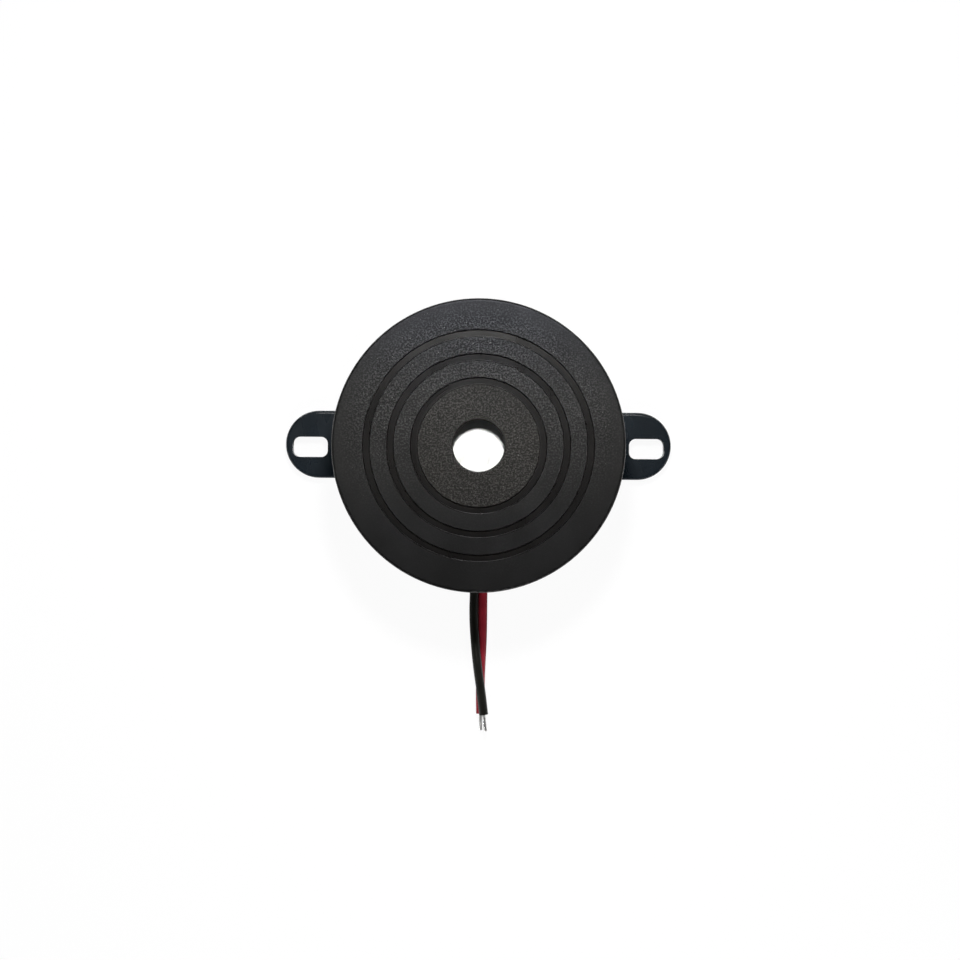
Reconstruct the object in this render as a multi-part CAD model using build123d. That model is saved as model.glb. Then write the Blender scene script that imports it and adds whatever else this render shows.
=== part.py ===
"""Round piezo alarm buzzer with a ringed front, two slotted ears and two flying leads.

The row frame has its origin at the centre of the back plane that is screwed to a panel.
+Z points out of the sound hole, +X runs through both ears and the leads leave towards -Y.
All lengths are in millimetres and all angles in degrees.
"""
from build123d import *
import math
import os

# Moulded body, as measured over its rim
body_height = 16.0
rim_diameter = 42.0
wall_draft = 0.5
front_thickness = 1.6
side_thickness = 1.5
rim_round = 0.4
back_edge_round = 0.25
sound_hole_diameter = 7.4
sound_hole_round = 0.2

# Shallow rings pressed into the front
ring_count = 3
first_ring_radius = 9.25
ring_pitch = 3.4
ring_mouth_width = 0.95
ring_floor_width = 0.84
ring_depth = 0.35
ring_edge_round = 0.07

# Ears with one slot each
slot_gap = 1.4
slot_length = 5.2
slot_width = 3.0
slot_corner = 1.0
slot_shift = 0.4
ear_width = 10.0
ear_thickness = 2.0
ear_end_wall = 1.05
ear_edge_round = 0.45
ear_root_round = 1.2

# Stepped ring inside the front that carries the diaphragm and the circuit board
cavity_depth = 1.4
seat_gap = 0.8
seat_width = 1.2
seat_lip = 1.0
chamber_depth = 2.0
seat_rib_count = 12
seat_rib_thickness = 1.0
cavity_corner_round = 0.4

# Piezo diaphragm: metal plate, ceramic disc and its silvered electrodes
plate_thickness = 0.3
plate_clearance = 0.2
ceramic_margin = 5.0
ceramic_thickness = 0.23
electrode_thickness = 0.05
electrode_margin = 0.5
tongue_width = 5.0
tongue_length = 8.0
tongue_gap = 0.7
adhesive_reach = 0.8
adhesive_height = 0.6

# Circuit board
board_thickness = 1.0
board_clearance = 0.3
leg_clearance = 0.1
leg_proud = 0.6
solder_height = 0.5
solder_base_diameter = 1.7
solder_tip_diameter = 0.9

# Wound choke
choke_diameter = 7.8
choke_height = 5.2
choke_flange = 0.9
choke_post_diameter = 3.6
choke_winding_diameter = 7.0
choke_inset = 3.4
choke_bearing = 143.0
choke_leg_spread = 2.4
choke_leg_bearings = (30.0, 150.0, 270.0)
choke_leg_diameter = 0.6

# Transistor with a flat front
transistor_width = 4.7
transistor_depth = 3.7
transistor_height = 4.4
transistor_standoff = 1.3
transistor_pitch = 1.27
transistor_leg = 0.45
transistor_inset = 5.0
transistor_bearing = 40.0

# Resistors and diode lying on the board
axial_leg_diameter = 0.5
axial_leg_bend = 0.6
axial_end_run = 1.6
axial_clearance = 0.2
resistor_diameter = 1.9
resistor_length = 3.9
resistor_waist_diameter = 1.6
resistor_cap_length = 0.9
diode_diameter = 2.6
diode_length = 5.0
diode_band_inset = 0.7
diode_band_width = 0.8
diode_band_step = 0.04
resistor_inset = 3.2
resistor_bearings = (88.0, 198.0, 295.0)
diode_inset = 4.0
diode_bearing = 350.0

# Ceramic capacitor
capacitor_diameter = 5.0
capacitor_thickness = 2.4
capacitor_edge_round = 0.9
capacitor_pitch = 2.5
capacitor_leg_diameter = 0.5
capacitor_standoff = 0.8
capacitor_inset = 4.6
capacitor_bearing = 246.0

# Fine wires between the board and the diaphragm
wire_diameter = 0.5
wire_bend = 0.42
wire_solder_height = 0.4
wire_solder_diameter = 1.5
wire_length = 6.0
main_wire_inset = 4.5
main_wire_bearing = 250.0
feedback_wire_inset = 3.4
plate_wire_gap = 2.3
plate_wire_bearing = 176.0

# Potting compound that closes the back
potting_recess = 2.5
meniscus_rise = 0.7
meniscus_reach = 1.1
meniscus_sag = 0.3
mound_width = 8.4
mound_near = 4.0
mound_far = 10.1
mound_floor_gap = 0.3
mound_corner = 1.6
mound_round = 0.6

# Flying leads and the notch that lets them out
lead_diameter = 1.35
lead_core_diameter = 0.5
tip_length = 2.5
tip_round = 0.15
notch_side_clearance = 0.3
notch_top_clearance = 0.4
notch_round = 0.7
lead_arc_share = 0.45
lead_floor_gap = 0.05

# How far a cutting block reaches past the faces it cuts
cut_margin = 1.0

# Sizes that follow from the ones above
rim_radius = rim_diameter / 2
base_radius = rim_radius + body_height * math.tan(math.radians(wall_draft))
bore_radius = rim_radius - side_thickness
roof_z = body_height - front_thickness
plate_z = roof_z - cavity_depth
board_front_z = plate_z - chamber_depth
board_back_z = board_front_z - board_thickness
seat_ring_radius = bore_radius - seat_gap
pocket_radius = seat_ring_radius - seat_lip
plate_radius = pocket_radius - plate_clearance
cavity_radius = plate_radius - seat_width
plate_back_z = plate_z - plate_thickness
ceramic_back_z = plate_back_z - ceramic_thickness
electrode_back_z = ceramic_back_z - electrode_thickness
ceramic_radius = plate_radius - ceramic_margin
electrode_radius = ceramic_radius - electrode_margin
board_radius = bore_radius - board_clearance
slot_x = rim_radius + slot_gap + slot_length / 2
ear_tip_x = slot_x + slot_length / 2 + ear_end_wall
sound_hole_radius = sound_hole_diameter / 2
lead_radius = lead_diameter / 2

# Routes of the leads, from the board to where the insulation ends
floor_line = lead_radius + lead_floor_gap
board_lead_y = -3.0
red_route = [
    (2.60, board_lead_y, board_back_z),
    (2.60, board_lead_y, 6.40),
    (2.50, -4.80, 3.28),
    (2.20, -7.92, 1.50),
    (1.48, -12.30, 1.24),
    (1.02, -16.90, 0.96),
    (0.82, -21.20, floor_line),
    (0.83, -25.20, floor_line),
    (0.79, -29.30, floor_line),
    (0.58, -33.20, floor_line),
    (0.51, -36.80, floor_line),
    (0.59, -40.10, floor_line),
]
black_route = [
    (-2.60, board_lead_y, board_back_z),
    (-2.60, board_lead_y, 6.40),
    (-2.45, -4.80, 3.28),
    (-2.10, -7.92, 1.50),
    (-1.26, -12.30, 1.24),
    (-0.71, -16.90, 1.12),
    (-0.43, -21.20, 1.20),
    (-0.56, -25.20, 1.22),
    (-0.30, -29.30, 1.66),
    (0.11, -33.20, 2.20),
    (0.67, -36.80, 2.20),
    (1.05, -40.10, 2.12),
]


def turned(points):
    """Solid of revolution about the buzzer's axis, from a closed outline given as (radius, z)."""
    outline = Plane.XZ * make_face(Polyline(*points, close=True))
    return revolve(outline, Axis.Z)


def washer(outer_radius, inner_radius, low_z, high_z):
    """Flat ring or tube about the buzzer's axis."""
    return turned(
        [
            (inner_radius, low_z),
            (outer_radius, low_z),
            (outer_radius, high_z),
            (inner_radius, high_z),
        ]
    )


def disc(radius, low_z, high_z):
    """Flat round disc about the buzzer's axis."""
    return Pos(0, 0, low_z) * extrude(Circle(radius), high_z - low_z)


def vertex_at(sketch, x, y):
    """The corner of a flat outline that lies nearest to a point."""
    return sketch.vertices().sort_by_distance((x, y, 0))[0]


def polar(radius, bearing):
    """Plan position at a distance from the axis, with the bearing counted from +X."""
    angle = math.radians(bearing)
    return radius * math.cos(angle), radius * math.sin(angle)


def ring_radii():
    """Middle radius of each ring in the front."""
    return [first_ring_radius + ring_pitch * index for index in range(ring_count)]


# Housing

def cup_outline():
    """Half section of the moulded cup, without the seat for the diaphragm."""
    outline = make_face(
        Polyline(
            (sound_hole_radius, body_height),
            (rim_radius, body_height),
            (base_radius, 0),
            (bore_radius, 0),
            (bore_radius, roof_z),
            (sound_hole_radius, roof_z),
            close=True,
        )
    )
    outline = fillet(vertex_at(outline, rim_radius, body_height), rim_round)
    outline = fillet(vertex_at(outline, sound_hole_radius, body_height), sound_hole_round)
    outline = fillet(vertex_at(outline, base_radius, 0), back_edge_round)
    return outline


def ring_outline(radius):
    """Section of one ring in the front: a flat floor, leaning sides and softened upper edges."""
    mouth = ring_mouth_width / 2
    floor = ring_floor_width / 2
    lift = ring_edge_round
    floor_y = body_height - ring_depth
    return make_face(
        Polyline(
            (radius - mouth - lift, body_height + lift),
            (radius - mouth - lift, body_height),
            (radius - mouth, body_height - lift),
            (radius - floor, floor_y),
            (radius + floor, floor_y),
            (radius + mouth, body_height - lift),
            (radius + mouth + lift, body_height),
            (radius + mouth + lift, body_height + lift),
            close=True,
        )
    )


def seat_outline():
    """Section of the stepped ring: a ledge for the plate and a lip that the board lands on."""
    return make_face(
        Polyline(
            (cavity_radius, roof_z + front_thickness / 2),
            (cavity_radius, plate_z),
            (pocket_radius, plate_z),
            (pocket_radius, board_front_z),
            (seat_ring_radius, board_front_z),
            (seat_ring_radius, roof_z + front_thickness / 2),
            close=True,
        )
    )


def seat_ribs():
    """Short ribs that tie the stepped ring to the side wall."""
    overlap = side_thickness / 2
    length = bore_radius + overlap - (seat_ring_radius - seat_lip / 2)
    middle = seat_ring_radius - seat_lip / 2 + length / 2
    height = roof_z + front_thickness / 2 - board_front_z
    rib = Pos(middle, 0, board_front_z + height / 2) * Box(length, seat_rib_thickness, height)
    return [Rot(0, 0, 360 / seat_rib_count * (index + 0.5)) * rib for index in range(seat_rib_count)]


def ear_plate():
    """Both ears as one flat plate, rounded where they leave the wall and along their upper edge."""
    half = ear_width / 2
    plan = Circle(rim_radius)
    for side in (-1, 1):
        end_x = side * (ear_tip_x - half)
        plan += Pos(end_x, 0) * Circle(half)
        plan += Pos(end_x / 2, 0) * Rectangle(abs(end_x), ear_width)
    root_x = math.sqrt(rim_radius**2 - half**2)
    roots = [vertex_at(plan, side * root_x, edge * half) for side in (-1, 1) for edge in (-1, 1)]
    plan = fillet(roots, ear_root_round)
    plate = extrude(plan, ear_thickness)
    upper = plate.faces().sort_by(Axis.Z)[-1]
    plate = fillet(upper.edges(), ear_edge_round)
    return plate - disc(bore_radius + side_thickness / 2, -cut_margin, ear_thickness + cut_margin)


def slot_cutter(side):
    """Mounting slot of one ear, as a block that passes right through."""
    plan = RectangleRounded(slot_length, slot_width, slot_corner)
    block = extrude(plan, ear_thickness + 2 * cut_margin)
    return Pos(side * slot_x, -slot_shift, -cut_margin) * block


def at_wall(route):
    """The point of a lead's route that lies nearest to the side wall."""
    return min(route, key=lambda point: abs(point[1] + rim_radius))


def notch_cutter():
    """Mouth in the foot of the wall that both leads pass through."""
    red = at_wall(red_route)
    black = at_wall(black_route)
    width = red[0] - black[0] + lead_diameter + 2 * notch_side_clearance
    top = max(red[2], black[2]) + lead_radius + notch_top_clearance
    inner = bore_radius - side_thickness
    outer = base_radius + side_thickness
    plan = Rectangle(width, 2 * top)
    upper = [vertex_at(plan, -width / 2, top), vertex_at(plan, width / 2, top)]
    plan = fillet(upper, notch_round)
    tunnel = extrude(Plane.XZ * plan, outer - inner)
    return Pos((red[0] + black[0]) / 2, -inner, 0) * tunnel


def make_housing():
    """One moulding: ringed front, drafted wall, inner seat, ears and the mouth for the leads."""
    section = cup_outline() + seat_outline()
    for radius in ring_radii():
        section -= ring_outline(radius)
    section = fillet(vertex_at(section, cavity_radius, roof_z), cavity_corner_round)
    body = revolve(Plane.XZ * section, Axis.Z)
    for rib in seat_ribs():
        body += rib
    body += ear_plate()
    for side in (-1, 1):
        body -= slot_cutter(side)
    body -= notch_cutter()
    return body


# Diaphragm

def make_diaphragm_plate():
    """Thin metal plate that rests on the ledge and shows through the sound hole."""
    return disc(plate_radius, plate_back_z, plate_z)


def make_ceramic_disc():
    """Piezo ceramic bonded to the back of the plate."""
    return disc(ceramic_radius, ceramic_back_z, plate_back_z)


def tongue_plan(grow):
    """Rounded tongue of the feedback electrode, wider by the given amount on each side."""
    half = tongue_width / 2 + grow
    inner_x = electrode_radius - tongue_length + tongue_width / 2
    plan = Pos(inner_x, 0) * Circle(half)
    plan += Pos(inner_x + tongue_length / 2, 0) * Rectangle(tongue_length, 2 * half)
    return plan & Circle(electrode_radius)


def make_main_electrode():
    """Silver layer over the ceramic, with room left for the feedback tongue."""
    plan = Circle(electrode_radius) - tongue_plan(tongue_gap)
    return Pos(0, 0, electrode_back_z) * extrude(plan, electrode_thickness)


def make_feedback_electrode():
    """Separate silver tongue that senses the motion of the diaphragm."""
    return Pos(0, 0, electrode_back_z) * extrude(tongue_plan(0), electrode_thickness)


def make_plate_adhesive():
    """Bead of silicone that holds the plate in its pocket."""
    return turned(
        [
            (plate_radius, plate_z),
            (plate_radius, plate_back_z),
            (plate_radius - adhesive_reach, plate_back_z),
            (pocket_radius, plate_back_z - adhesive_height),
            (pocket_radius, plate_z),
        ]
    )


# Parts on the board, each modelled on a board that faces up and then turned over into place

def on_board(inset, bearing):
    """Place on the back of the board, at a distance in from its edge."""
    x, y = polar(board_radius - inset, bearing)
    return Pos(x, y, board_back_z) * Rot(0, 0, bearing) * Rot(180, 0, 0)


def leg_foot():
    """How far a leg reaches below the face that its part stands on."""
    return board_thickness + leg_proud


def choke_place():
    """Place of the wound choke."""
    return on_board(choke_inset + choke_diameter / 2, choke_bearing)


def choke_legs():
    """Positions of the choke's three legs, on its own board face."""
    return [polar(choke_leg_spread, bearing) for bearing in choke_leg_bearings]


def make_choke_core():
    """Ferrite drum with its three legs."""
    flange = choke_diameter / 2
    post = choke_post_diameter / 2
    core = turned(
        [
            (0, 0),
            (flange, 0),
            (flange, choke_flange),
            (post, choke_flange),
            (post, choke_height - choke_flange),
            (flange, choke_height - choke_flange),
            (flange, choke_height),
            (0, choke_height),
        ]
    )
    for x, y in choke_legs():
        core += Pos(x, y, -leg_foot()) * extrude(Circle(choke_leg_diameter / 2), leg_foot() + choke_flange / 2)
    return choke_place() * core


def make_choke_winding():
    """Copper winding between the flanges of the drum."""
    winding = washer(
        choke_winding_diameter / 2,
        choke_post_diameter / 2,
        choke_flange,
        choke_height - choke_flange,
    )
    return choke_place() * winding


def transistor_place():
    """Place of the transistor."""
    return on_board(transistor_inset + transistor_depth / 2, transistor_bearing)


def transistor_legs():
    """Positions of the transistor's three legs, on its own board face."""
    return [(0, transistor_pitch * index) for index in (-1, 0, 1)]


def make_transistor():
    """Small moulded transistor, round at the back and flat at the front."""
    radius = transistor_width / 2
    plan = Circle(radius) & Pos(radius - transistor_depth / 2, 0) * Rectangle(transistor_depth, transistor_width)
    body = Pos(0, 0, transistor_standoff) * extrude(plan, transistor_height)
    length = leg_foot() + transistor_standoff + transistor_leg
    for x, y in transistor_legs():
        middle = transistor_standoff + transistor_leg - length / 2
        body += Pos(x, y, middle) * Box(transistor_leg, transistor_leg, length)
    return transistor_place() * body


def axial_pitch(length):
    """Distance between the legs of a part that lies down."""
    return length + 2 * axial_end_run


def axial_part(diameter, length, body):
    """Lying part: a body along Y, with a leg at each end that bends down through the board."""
    height = diameter / 2 + axial_clearance
    half = axial_pitch(length) / 2
    route = FilletPolyline(
        (0, -half, -leg_foot()),
        (0, -half, height),
        (0, half, height),
        (0, half, -leg_foot()),
        radius=axial_leg_bend,
    )
    section = Plane(route @ 0, z_dir=route % 0) * Circle(axial_leg_diameter / 2)
    return sweep(section, route) + Pos(0, 0, height) * body


def axial_legs(length):
    """Positions of the two legs of a lying part."""
    return [(0, -axial_pitch(length) / 2), (0, axial_pitch(length) / 2)]


def along_y(points):
    """Solid of revolution about the Y axis, from an outline given as (radius, y)."""
    return revolve(make_face(Polyline(*points, close=True)), Axis.Y)


def resistor_place(index):
    """Place of one of the three resistors."""
    return on_board(resistor_inset + resistor_diameter / 2, resistor_bearings[index])


def make_resistor(index):
    """Resistor with raised end caps."""
    end = resistor_length / 2
    cap = end - resistor_cap_length
    step = (resistor_diameter - resistor_waist_diameter) / 2
    body = along_y(
        [
            (0, -end),
            (resistor_diameter / 2 - step, -end),
            (resistor_diameter / 2, -end + step),
            (resistor_diameter / 2, -cap - step),
            (resistor_waist_diameter / 2, -cap),
            (resistor_waist_diameter / 2, cap),
            (resistor_diameter / 2, cap + step),
            (resistor_diameter / 2, end - step),
            (resistor_diameter / 2 - step, end),
            (0, end),
        ]
    )
    return resistor_place(index) * axial_part(resistor_diameter, resistor_length, body)


def diode_place():
    """Place of the diode that guards against wrong polarity."""
    return on_board(diode_inset + diode_diameter / 2, diode_bearing)


def make_diode():
    """Moulded diode with its raised cathode band."""
    end = diode_length / 2
    radius = diode_diameter / 2
    band = end - diode_band_inset
    body = along_y(
        [
            (0, -end),
            (radius, -end),
            (radius, band - diode_band_width),
            (radius + diode_band_step, band - diode_band_width),
            (radius + diode_band_step, band),
            (radius, band),
            (radius, end),
            (0, end),
        ]
    )
    return diode_place() * axial_part(diode_diameter, diode_length, body)


def capacitor_place():
    """Place of the ceramic capacitor."""
    return on_board(capacitor_inset + capacitor_thickness / 2, capacitor_bearing)


def capacitor_legs():
    """Positions of the capacitor's two legs."""
    return [(0, -capacitor_pitch / 2), (0, capacitor_pitch / 2)]


def make_capacitor():
    """Dipped disc capacitor that stands on its edge."""
    radius = capacitor_diameter / 2
    drum = extrude(Plane.YZ * Circle(radius), capacitor_thickness / 2, both=True)
    drum = fillet(drum.edges().filter_by(GeomType.CIRCLE), capacitor_edge_round)
    body = Pos(0, 0, capacitor_standoff + radius) * drum
    length = leg_foot() + capacitor_standoff + radius
    for x, y in capacitor_legs():
        body += Pos(x, y, -leg_foot()) * extrude(Circle(capacitor_leg_diameter / 2), length)
    return capacitor_place() * body


def leg_positions():
    """Every leg that passes through the board: its plan position and the diameter of its hole."""
    groups = [
        (choke_place(), choke_legs(), choke_leg_diameter),
        (transistor_place(), transistor_legs(), transistor_leg * math.sqrt(2)),
        (diode_place(), axial_legs(diode_length), axial_leg_diameter),
        (capacitor_place(), capacitor_legs(), capacitor_leg_diameter),
    ]
    for index in range(len(resistor_bearings)):
        groups.append((resistor_place(index), axial_legs(resistor_length), axial_leg_diameter))
    found = []
    for place, legs, size in groups:
        for x, y in legs:
            foot = (place * Pos(x, y, 0)).position
            found.append((foot.X, foot.Y, size))
    for route in (red_route, black_route):
        found.append((route[0][0], route[0][1], lead_core_diameter))
    return found


def make_circuit_board():
    """Round board with a hole for each leg."""
    board = disc(board_radius, board_back_z, board_front_z)
    for x, y, size in leg_positions():
        drill = extrude(Circle(size / 2 + leg_clearance), board_thickness + 2 * cut_margin)
        board -= Pos(x, y, board_back_z - cut_margin) * drill
    return board


def make_board_solder(legs):
    """One cone of solder round each leg, on the side that faces the diaphragm."""
    cones = []
    for x, y, size in leg_positions():
        cone = Pos(x, y, board_front_z + solder_height / 2) * Cone(
            solder_base_diameter / 2, solder_tip_diameter / 2, solder_height
        )
        for leg in legs:
            cone -= leg
        cones.append(cone)
    return Compound(children=[solid for cone in cones for solid in cone.solids()])


# Fine wires to the diaphragm

def wire_ends():
    """Start on the board and end on the diaphragm of each fine wire: (start x, y), (end x, y, z)."""
    main_x, main_y = polar(electrode_radius - main_wire_inset, main_wire_bearing)
    tongue_x = electrode_radius - feedback_wire_inset
    plate_reach = ceramic_radius + plate_wire_gap
    plate_x, plate_y = polar(plate_reach, plate_wire_bearing)
    start_x, start_y = polar(plate_reach - wire_length, plate_wire_bearing)
    return {
        "main_wire": ((main_x + wire_length, main_y), (main_x, main_y, electrode_back_z)),
        "feedback_wire": ((tongue_x - wire_length, 0), (tongue_x, 0, electrode_back_z)),
        "plate_wire": ((start_x, start_y), (plate_x, plate_y, plate_back_z)),
    }


def make_wire(name):
    """Fine wire that stands up from the board, runs across and ends on the diaphragm."""
    (start_x, start_y), (end_x, end_y, end_z) = wire_ends()[name]
    run_z = (board_front_z + electrode_back_z) / 2
    route = FilletPolyline(
        (start_x, start_y, board_front_z),
        (start_x, start_y, run_z),
        (end_x, end_y, run_z),
        (end_x, end_y, end_z),
        radius=wire_bend,
    )
    section = Plane(route @ 0, z_dir=route % 0) * Circle(wire_diameter / 2)
    return sweep(section, route)


def make_wire_solder(wires):
    """Blobs of solder at both ends of each fine wire."""
    blobs = []
    for name, ((start_x, start_y), (end_x, end_y, end_z)) in wire_ends().items():
        foot = Pos(start_x, start_y, board_front_z + wire_solder_height / 2) * Cone(
            wire_solder_diameter / 2, wire_diameter, wire_solder_height
        )
        head = Pos(end_x, end_y, end_z - wire_solder_height / 2) * Cone(
            wire_diameter, wire_solder_diameter / 2, wire_solder_height
        )
        blobs.append(foot - wires[name])
        blobs.append(head - wires[name])
    return Compound(children=[solid for blob in blobs for solid in blob.solids()])


# Leads

def lead_radii(route):
    """Radius of the arc at each inner point of a lead's route, as large as its two runs allow."""
    radii = []
    for before, here, after in zip(route, route[1:], route[2:]):
        into = Vector(*here) - Vector(*before)
        out = Vector(*after) - Vector(*here)
        half_turn = math.radians(into.get_angle(out)) / 2
        radii.append(lead_arc_share * min(into.length, out.length) / math.tan(half_turn))
    return radii


def make_lead(name, route):
    """Insulated lead from the back of the board to where its insulation ends."""
    radii = lead_radii(route)
    path = FilletPolyline(*route, radius=radii)
    section = Plane(path @ 0, z_dir=path % 0) * Circle(lead_radius)
    lead = sweep(section, path)
    expected = math.pi * lead_radius**2 * path.length
    print(name, "length", round(path.length, 2), "radii", [round(radius, 1) for radius in radii])
    print(name, "volume over section times length", round(lead.volume / expected, 4))
    return lead


def make_lead_tip(route):
    """Tinned end of the conductor beyond the insulation."""
    end = Vector(*route[-1])
    direction = (end - Vector(*route[-2])).normalized()
    tip = extrude(Plane(end, z_dir=direction) * Circle(lead_core_diameter / 2), tip_length)
    far_edge = tip.edges().filter_by(GeomType.CIRCLE).sort_by_distance(end)[-1]
    return fillet(far_edge, tip_round)


def make_lead_board_ends():
    """Bared ends of both leads where they pass through the board."""
    ends = []
    for route in (red_route, black_route):
        x, y, z = route[0]
        ends.append(Pos(x, y, z) * extrude(Circle(lead_core_diameter / 2), leg_foot()))
    return Compound(children=ends)


# Potting

def make_potting(buried):
    """Compound that fills the back up to the board, with a mound round the leads."""
    back_z = potting_recess
    outline = make_face(
        [
            Line((0, back_z), (bore_radius - meniscus_reach, back_z)),
            ThreePointArc(
                (bore_radius - meniscus_reach, back_z),
                (bore_radius - meniscus_reach * meniscus_sag, back_z - meniscus_rise * meniscus_sag),
                (bore_radius, back_z - meniscus_rise),
            ),
            Line((bore_radius, back_z - meniscus_rise), (bore_radius, board_back_z)),
            Line((bore_radius, board_back_z), (0, board_back_z)),
            Line((0, board_back_z), (0, back_z)),
        ]
    )
    fill = revolve(Plane.XZ * outline, Axis.Z)
    depth = mound_far - mound_near
    height = back_z - mound_floor_gap
    plan = RectangleRounded(mound_width, depth, mound_corner)
    mound = Pos(0, -(mound_near + mound_far) / 2, mound_floor_gap) * extrude(plan, height + cut_margin)
    lowest = mound.faces().sort_by(Axis.Z)[0]
    fill += fillet(lowest.edges(), mound_round)
    for piece in buried:
        fill -= piece
    return fill


def main():
    """Builds every piece and writes one file for each."""
    pieces = {
        "housing": make_housing(),
        "diaphragm_plate": make_diaphragm_plate(),
        "ceramic_disc": make_ceramic_disc(),
        "main_electrode": make_main_electrode(),
        "feedback_electrode": make_feedback_electrode(),
        "plate_adhesive": make_plate_adhesive(),
        "circuit_board": make_circuit_board(),
        "choke_core": make_choke_core(),
        "choke_winding": make_choke_winding(),
        "transistor": make_transistor(),
        "bias_resistor": make_resistor(0),
        "base_resistor": make_resistor(1),
        "feedback_resistor": make_resistor(2),
        "diode": make_diode(),
        "ceramic_capacitor": make_capacitor(),
        "lead_board_ends": make_lead_board_ends(),
        "lead_red": make_lead("lead_red", red_route),
        "lead_black": make_lead("lead_black", black_route),
        "lead_red_tip": make_lead_tip(red_route),
        "lead_black_tip": make_lead_tip(black_route),
    }
    buried = [
        "choke_core",
        "choke_winding",
        "transistor",
        "bias_resistor",
        "base_resistor",
        "feedback_resistor",
        "diode",
        "ceramic_capacitor",
        "lead_red",
        "lead_black",
    ]
    through_board = [name for name in buried if name not in ("choke_winding", "lead_red", "lead_black")]
    through_board.append("lead_board_ends")
    wires = {name: make_wire(name) for name in wire_ends()}
    pieces.update(wires)
    pieces["wire_solder"] = make_wire_solder(wires)
    pieces["board_solder"] = make_board_solder([pieces[name] for name in through_board])
    pieces["potting"] = make_potting([pieces[name] for name in buried])
    os.makedirs("parts", exist_ok=True)
    for name, piece in pieces.items():
        export_step(piece, f"parts/{name}.step")


main()
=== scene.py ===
"""Dressed model of a round piezo alarm buzzer, laid on its back and seen from straight above.

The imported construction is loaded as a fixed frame: +Z points out of the sound hole, +X runs
through both ears and the leads leave towards -Y. Sizes are in metres and cells are counted to
the metre. Angles are in radians, apart from bearings, which are in degrees.
"""

import logging
import math
from dataclasses import dataclass, replace
from enum import Enum

import bpy
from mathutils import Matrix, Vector


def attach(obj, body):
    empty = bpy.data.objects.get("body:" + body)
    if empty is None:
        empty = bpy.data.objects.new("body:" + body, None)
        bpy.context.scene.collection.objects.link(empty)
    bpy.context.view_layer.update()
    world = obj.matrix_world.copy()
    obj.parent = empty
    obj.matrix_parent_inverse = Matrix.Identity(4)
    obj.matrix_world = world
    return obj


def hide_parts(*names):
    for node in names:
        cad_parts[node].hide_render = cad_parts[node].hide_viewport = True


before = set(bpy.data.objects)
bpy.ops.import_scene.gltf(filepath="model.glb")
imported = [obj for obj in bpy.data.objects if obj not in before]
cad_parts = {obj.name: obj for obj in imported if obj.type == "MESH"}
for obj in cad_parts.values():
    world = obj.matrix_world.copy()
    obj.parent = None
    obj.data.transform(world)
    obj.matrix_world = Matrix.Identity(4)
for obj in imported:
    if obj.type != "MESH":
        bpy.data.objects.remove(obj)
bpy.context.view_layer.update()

BODY = "root"
LOG = logging.getLogger("buzzer")

Colour = tuple[float, float, float]
Point = tuple[float, float, float]
Span = tuple[float, float]
Band = tuple[float, float, Colour]
Socket = bpy.types.NodeSocket

TINNED: Colour = (0.72, 0.71, 0.69)
TINNED_ROUGHNESS = 0.32
BLACK_EPOXY: Colour = (0.012, 0.012, 0.013)


def opaque(colour: Colour) -> tuple[float, float, float, float]:
    """Adds full opacity to a colour."""
    return (*colour, 1.0)


def grey(shade: float) -> tuple[float, float, float, float]:
    """Returns an opaque grey."""
    return opaque((shade, shade, shade))


def shifted(base: float, span: Span) -> Span:
    """Returns the two ends of a span that is counted from a base."""
    return base + span[0], base + span[1]


def emptied(owner: bpy.types.ID) -> bpy.types.NodeTree:
    """Returns the node tree of a material or a world, with nothing in it."""
    owner.use_nodes = True
    owner.node_tree.nodes.clear()
    return owner.node_tree


def link(name: str, data: bpy.types.ID) -> bpy.types.Object:
    """Returns a new object that is linked to the scene.

    Args:
        name: its name.
        data: its mesh, curve, lamp or camera data.
    """
    made = bpy.data.objects.new(name, data)
    bpy.context.scene.collection.objects.link(made)
    return made


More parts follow.
